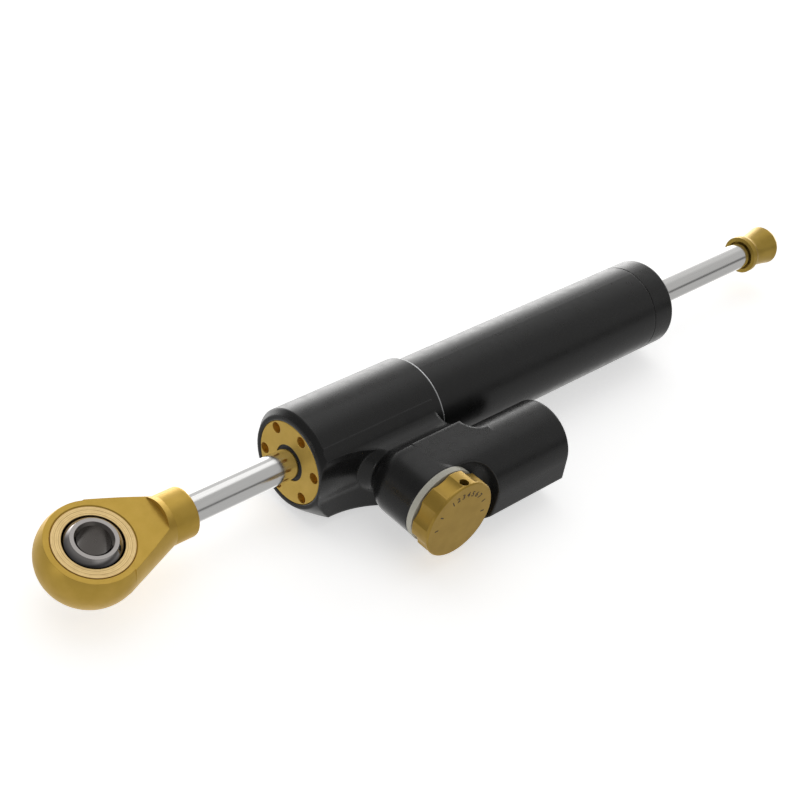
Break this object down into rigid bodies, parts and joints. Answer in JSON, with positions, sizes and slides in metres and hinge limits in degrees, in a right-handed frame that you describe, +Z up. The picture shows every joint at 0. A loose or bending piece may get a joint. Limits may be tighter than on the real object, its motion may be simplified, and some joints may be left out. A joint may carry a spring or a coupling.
{
  "type": "motorcycle steering damper",
  "caption": "Linear steering damper: chromed through rod in a black cylinder, gold spherical rod end and stop cap, side adjuster knob and oil reservoir.",
  "frame": {"origin": "on the rod's axis, in the middle of the plain tube that the frame clamp grips", "axes": "+X along the rod from the spherical eye to the stop cap, -Y towards the adjuster knob, +Z up as in the picture"},
  "size_m": [0.2689, 0.0532, 0.0278],
  "materials": {
    "black_body": "black satin anodised",
    "black_tube": "black satin anodised, turned",
    "black_end_cap": "black satin anodised, turned",
    "black_pod_cap": "black satin anodised",
    "gold_gland": "gold anodised, turned face",
    "gold_rod_end": "gold satin anodised",
    "gold_stop_cap": "gold satin anodised, turned",
    "gold_knob": "gold satin anodised",
    "champagne_race": "pale champagne, fine turned rings",
    "polished_ball": "polished",
    "chromed_rod": "hard chromed and ground",
    "pale_ring": "off-white, smooth",
    "bare_aluminium": "turned",
    "spring_steel": "ground",
    "black_screw": "black oxide",
    "bronze": "turned bronze",
    "seal_rubber": "moulded",
    "wiper_rubber": "moulded",
    "piston_ring_resin": "filled resin",
    "bearing_liner_cloth": "woven low-friction liner"
  },
  "bodies": {
    "housing": {"body_housing": "black_body", "cylinder_tube": "black_tube", "rear_end_cap": "black_end_cap", "front_gland": "gold_gland", "front_guide_bush": "bronze", "front_rod_seal": "seal_rubber", "front_wiper": "wiper_rubber", "gland_o_ring": "seal_rubber", "rear_guide_bush": "bronze", "rear_rod_seal": "seal_rubber", "rear_wiper": "wiper_rubber", "rear_cap_o_ring": "seal_rubber", "tube_o_ring": "seal_rubber", "adjuster_ring": "pale_ring", "adjuster_bush": "bare_aluminium", "needle_seat": "bronze", "reservoir_cap": "black_pod_cap", "reservoir_cap_o_ring": "seal_rubber", "reservoir_circlip": "spring_steel", "reservoir_fill_screw": "black_screw"},
    "piston_ring": {"piston_ring": "piston_ring_resin"},
    "rod": {"piston_rod": "chromed_rod", "piston": "bare_aluminium", "piston_clips": "spring_steel", "rod_end_eye": "gold_rod_end", "bearing_race": "champagne_race", "rod_stop_cap": "gold_stop_cap"},
    "liner": {"bearing_liner": "bearing_liner_cloth"},
    "ball": {"bearing_ball": "polished_ball"},
    "knob": {"adjuster_knob": "gold_knob", "knob_grub_screw": "black_screw", "adjuster_spindle": "spring_steel", "spindle_o_ring": "seal_rubber"},
    "needle": {"valve_needle": "spring_steel"},
    "float": {"floating_piston": "bare_aluminium", "floating_piston_o_ring": "seal_rubber"}
  },
  "joints": [
    {"name": "rod_slide", "type": "slide", "parent": "housing", "child": "piston_ring", "axis": [1, 0, 0], "range_m": [-0.0459, 0.0291]},
    {"name": "rod_turn", "type": "hinge", "parent": "piston_ring", "child": "rod", "pos_m": [0, 0, 0], "axis": [1, 0, 0], "continuous": true},
    {"name": "ball_tilt", "type": "hinge", "parent": "rod", "child": "liner", "pos_m": [-0.1429, 0, 0], "axis": [0, 0.9686, 0.2487], "range_deg": [-12, 12]},
    {"name": "ball_spin", "type": "hinge", "parent": "liner", "child": "ball", "pos_m": [-0.1429, 0, 0], "axis": [0, -0.2487, 0.9686], "continuous": true},
    {"name": "knob_turn", "type": "hinge", "parent": "housing", "child": "knob", "pos_m": [-0.0626, 0, 0], "axis": [0, -1, 0], "range_deg": [-360, 360]},
    {"name": "needle_slide", "type": "slide", "parent": "housing", "child": "needle", "axis": [0, -1, 0], "range_m": [-0.00076, 0.00076]},
    {"name": "float_slide", "type": "slide", "parent": "housing", "child": "float", "axis": [1, 0, 0], "range_m": [-0.003, 0.003]}
  ],
  "couplings": [
    {"joint": "needle_slide", "follows": "knob_turn", "m_per_rad": 0.00011937}
  ]
}
